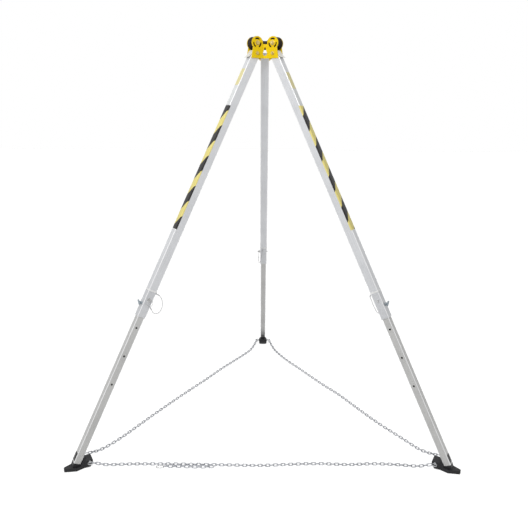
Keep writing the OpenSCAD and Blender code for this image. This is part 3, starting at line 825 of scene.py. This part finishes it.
# Lock collars: square sleeves pinned to the lower tube, which the upper tube stands on.
# A pale nylon ring round the collar's top end has a low lip that the tube's end sits in.
collar_light = (0.66, 0.67, 0.69)
collar_dull = (0.59, 0.60, 0.62)
collar_edge = 0.0006
collar_aluminium = drawn_tube("collar_aluminium", collar_light, collar_dull, roughness=0.32)
for leg in LEGS:
    collar = softened("lock_collar_" + leg, "leg_lock_collar_" + leg, collar_edge)
    keep_leg_place(collar, leg, tube_half)
    take_place_of(collar, "lock_collar_" + leg, "lower_leg_" + leg, "collar_aluminium", collar_aluminium)

collar_top = -1.5003
seat_ring_height = 0.0056
seat_ring_lip = 0.0032
seat_ring_wall = 0.0013
seat_ring_edge = 0.0005
seat_ring_limit = math.radians(60)
round_smooth = math.radians(40)
seat_pale = (0.94, 0.94, 0.93)
seat_worn = (0.90, 0.90, 0.89)
seat_nylon = moulded("seat_nylon", seat_pale, seat_worn, roughness=0.45, grain_scale=700, grain_depth=0.0003)
seat_span = (collar_top - seat_ring_height, collar_top)
for leg in LEGS:
    ring = skin_of("lock_collar_", leg, "seat_ring_" + leg, seat_span, (-past_tube, past_tube),
                   seat_ring_wall)
    for vertex in ring.data.vertices:
        if vertex.co.z > collar_top - seat_ring_height / 2:
            vertex.co.z += seat_ring_lip
    rounding = ring.modifiers.new("round_edges", "BEVEL")
    rounding.width = seat_ring_edge
    rounding.segments = 2
    rounding.angle_limit = seat_ring_limit
    only(ring)
    bpy.ops.object.modifier_apply(modifier=rounding.name)
    bpy.ops.object.shade_smooth_by_angle(angle=round_smooth)
    ring.data.transform(leg_frames[leg])
    ring.data.materials.append(seat_nylon)
    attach(ring, "lower_leg_" + leg)

# Clamp screws: T-handled steel screws in the collars' outer faces, painted blue-grey.
# Each goes through the collar's wall and ends just short of the lower tube.
screw_colour = (0.34, 0.39, 0.43)
screw_deep = (0.28, 0.325, 0.36)
screw_edge = 0.0006
screw_paint = painted("screw_paint", screw_colour, screw_deep, roughness=0.4, gloss=0.4)
for leg in LEGS:
    screw = softened("clamp_screw_" + leg, "clamp_handle_" + leg, screw_edge)
    take_place_of(screw, "clamp_screw_" + leg, "clamp_" + leg, "blue_black_paint", screw_paint)

# Lock pins: turned steel pins with a flat tab and a split ring to pull them by.
# Each goes through the collar and the lower tube.
pin_light = (0.62, 0.62, 0.61)
pin_dark = (0.50, 0.50, 0.50)
pin_edge = 0.0006
ring_edge = 0.0002
pin_steel = brushed("pin_steel", pin_light, pin_dark, metallic=0.5, roughness=0.3)
for leg in LEGS:
    pin = softened("lock_pin_" + leg, "collar_pin_" + leg, pin_edge)
    take_place_of(pin, "lock_pin_" + leg, "pin_" + leg, "pin_steel", pin_steel)
    ring = softened("pin_ring_" + leg, "pull_ring_" + leg, ring_edge, limit=60)
    take_place_of(ring, "pin_ring_" + leg, "pin_" + leg, "pin_steel", pin_steel)

# Lanyards: thin wire rope from the collar's lug to the pin's ring, six strands laid round a core,
# with a crimped aluminium ferrule near each end.
lanyard_width = 0.003
strand_count = 6
strand_pitch = 0.016
ferrule_place = 0.014
ferrule_length = 0.013
ferrule_width = 0.0066
ferrule_waist = 0.86
ferrule_cuts = (-0.3, -0.15, 0.15, 0.3)
ferrule_crimp = (0.1, 0.35)
ferrule_edge = 0.0006
ferrule_limit = math.radians(50)
ferrule_light = (0.50, 0.50, 0.51)
ferrule_dark = (0.36, 0.36, 0.37)
rope_light = (0.36, 0.36, 0.37)
rope_dark = (0.24, 0.24, 0.25)
lanyard_step = 0.002
lanyard_places = {
    "left": ((-0.0355, 0.010, 0.045), (-0.058, 0.011, 0.040), (-0.086, 0.015, 0.014),
             (-0.097, 0.021, -0.022), (-0.084, 0.031, -0.055), (-0.056, 0.0375, -0.063),
             (-0.030, 0.0385, -0.046), (-0.0175, 0.0385, -0.0341)),
    "right": ((-0.0355, 0.010, 0.045), (-0.047, 0.011, 0.038), (-0.052, 0.014, 0.005),
              (-0.055, 0.020, -0.040), (-0.050, 0.029, -0.078), (-0.034, 0.036, -0.088),
              (-0.020, 0.0385, -0.060), (-0.0175, 0.0385, -0.0341)),
}
lanyard_places["back"] = lanyard_places["right"]
pin_place = 1.5573


def strand_curve(name, points, radius):
    curve = bpy.data.curves.new(name, "CURVE")
    curve.dimensions = "3D"
    curve.bevel_depth = radius
    curve.bevel_resolution = 1
    curve.use_fill_caps = True
    spline = curve.splines.new("POLY")
    spline.points.add(len(points) - 1)
    for point, place in zip(spline.points, points):
        point.co = (*place, 1)
    piece = bpy.data.objects.new(name, curve)
    bpy.context.scene.collection.objects.link(piece)
    only(piece)
    bpy.ops.object.convert(target="MESH")
    return bpy.context.object


def wire_rope(name, line, width):
    """Strands wound round a core along a line, as one mesh."""
    lengths = line_lengths(line)
    radius = width / 6
    reach = width / 2 - radius
    along = [(line[min(i + 1, len(line) - 1)] - line[max(i - 1, 0)]).normalized() for i in range(len(line))]
    side = along[0].orthogonal().normalized()
    sides = []
    for direction in along:
        side = (side - direction * side.dot(direction)).normalized()
        sides.append(side)
    strands = [strand_curve(name, line, radius)]
    for k in range(strand_count):
        points = []
        for i, place in enumerate(line):
            turn = 2 * math.pi * (lengths[i] / strand_pitch + k / strand_count)
            across = sides[i] * math.cos(turn) + along[i].cross(sides[i]) * math.sin(turn)
            points.append(place + reach * across)
        strands.append(strand_curve(name, points, radius))
    return joined(strands, name)


def crimped_ferrule(name, middle, along):
    """A short sleeve pressed round the rope, waisted at two crimps."""
    deselect()
    bpy.ops.mesh.primitive_cylinder_add(vertices=16, radius=ferrule_width / 2, depth=ferrule_length)
    sleeve = bpy.context.object
    sleeve.name = name
    sleeve.data.name = name
    bpy.ops.object.mode_set(mode="EDIT")
    for share in ferrule_cuts:
        bpy.ops.mesh.select_all(action="SELECT")
        bpy.ops.mesh.bisect(plane_co=(0, 0, share * ferrule_length), plane_no=(0, 0, 1))
    bpy.ops.object.mode_set(mode="OBJECT")
    for vertex in sleeve.data.vertices:
        if ferrule_crimp[0] < abs(vertex.co.z) / ferrule_length < ferrule_crimp[1]:
            vertex.co.x *= ferrule_waist
            vertex.co.y *= ferrule_waist
    edges = sleeve.modifiers.new("rounded_ends", "BEVEL")
    edges.width = ferrule_edge
    edges.segments = 2
    edges.angle_limit = ferrule_limit
    bpy.ops.object.modifier_apply(modifier=edges.name)
    bpy.ops.object.shade_smooth_by_angle(angle=round_smooth)
    turned = along.to_track_quat("Z", "Y").to_matrix().to_4x4()
    turned.translation = middle
    sleeve.data.transform(turned)
    return sleeve


ferrule_aluminium = brushed("ferrule_aluminium", ferrule_light, ferrule_dark, metallic=0.5, roughness=0.35)
rope_steel = brushed("rope_steel", rope_light, rope_dark, metallic=0.7, roughness=0.35)
for leg in LEGS:
    pin_height = Vector((0, 0, -pin_place))
    points = [leg_frames[leg] @ (Vector(point) + pin_height) for point in lanyard_places[leg]]
    line = smooth_line(points, lanyard_step)
    rope = wire_rope("lanyard_rope_" + leg, line, lanyard_width)
    rope.data.materials.clear()
    rope.data.materials.append(rope_steel)
    only(rope)
    bpy.ops.object.shade_smooth()
    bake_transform(rope)
    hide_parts("lanyard_" + leg)
    lengths = line_lengths(line)
    ends = (("collar", ferrule_place, "lower_leg_"), ("pin", lengths[-1] - ferrule_place, "pin_"))
    for end, distance, body in ends:
        middle = point_on(line, lengths, distance)
        before = point_on(line, lengths, distance - lanyard_step)
        after = point_on(line, lengths, distance + lanyard_step)
        ferrule = crimped_ferrule("ferrule_%s_%s" % (end, leg), middle, (after - before).normalized())
        ferrule.data.materials.append(ferrule_aluminium)
        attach(ferrule, body + leg)

# Shoes: black painted castings with rubber soles, held by a spigot in the lower tube,
# a strap over its outer face and two bolts.
casting_black = (0.007, 0.007, 0.009)
casting_rubbed = (0.014, 0.014, 0.017)
# painted highlight with some rubbing: the castings' broken edges get lighter blacks than the body
edge_wear_and_highlight_dark = (0.030, 0.030, 0.033)
edge_wear_and_highlight_light = (0.060, 0.060, 0.064)
rubber_black = (0.008, 0.008, 0.008)
rubber_rubbed = (0.014, 0.014, 0.014)
strap_black = (0.018, 0.018, 0.020)
strap_rubbed = (0.028, 0.028, 0.030)
zinc_light = (0.20, 0.20, 0.20)
zinc_dark = (0.12, 0.12, 0.12)
shoe_edge = 0.0016
sole_edge = 0.0012
strap_edge = 0.0006
black_casting = moulded("black_casting", casting_black, casting_rubbed, roughness=0.5, grain_scale=380,
                        grain_depth=0.0012, gloss=0.32)
casting_edge_wear_and_highlight = moulded("casting_edge_wear_and_highlight", edge_wear_and_highlight_dark, edge_wear_and_highlight_light, roughness=0.42,
                        grain_scale=380, grain_depth=0.0008)
black_rubber = moulded("black_rubber", rubber_black, rubber_rubbed, roughness=0.72, grain_scale=520,
                       grain_depth=0.0008)
strap_paint = painted("strap_paint", strap_black, strap_rubbed, roughness=0.45, gloss=0.4)
strap_zinc = brushed("strap_zinc", zinc_light, zinc_dark, metallic=0.6, roughness=0.4)
for leg in LEGS:
    body = "lower_leg_" + leg
    # the bevelled edges take the second material, the lighter painted highlight
    shoe = softened("shoe_" + leg, "cast_shoe_" + leg, shoe_edge, segments=3, edge_material=1)
    take_place_of(shoe, "shoe_" + leg, body, "black_casting", black_casting, casting_edge_wear_and_highlight)
    sole = softened("sole_" + leg, "rubber_sole_" + leg, sole_edge)
    take_place_of(sole, "sole_" + leg, body, "black_rubber", black_rubber)
    strap = softened("shoe_strap_" + leg, "tube_strap_" + leg, strap_edge)
    take_place_of(strap, "shoe_strap_" + leg, body, "strap_paint", strap_paint)
    bolts = softened("shoe_bolts_" + leg, "strap_bolts_" + leg, bolt_edge)
    take_place_of(bolts, "shoe_bolts_" + leg, body, "plated_bolts", strap_zinc)

# Chain eyes: galvanised eye bolts screwed into the sides of each shoe's heel,
# duller than the snap hook. Each chain starts in one eye and ends just short of another.
eye_light = (0.46, 0.47, 0.48)
eye_dark = (0.28, 0.29, 0.30)
eye_edge = 0.0003
eye_steel = galvanised("eye_steel", eye_light, eye_dark)
for leg in LEGS:
    eyes = softened("chain_eyes_" + leg, "heel_eye_bolts_" + leg, eye_edge, limit=50)
    take_place_of(eyes, "chain_eyes_" + leg, "lower_leg_" + leg, "galvanised_steel", eye_steel)

# Last: the scene is brought up to date.
bpy.context.view_layer.update()
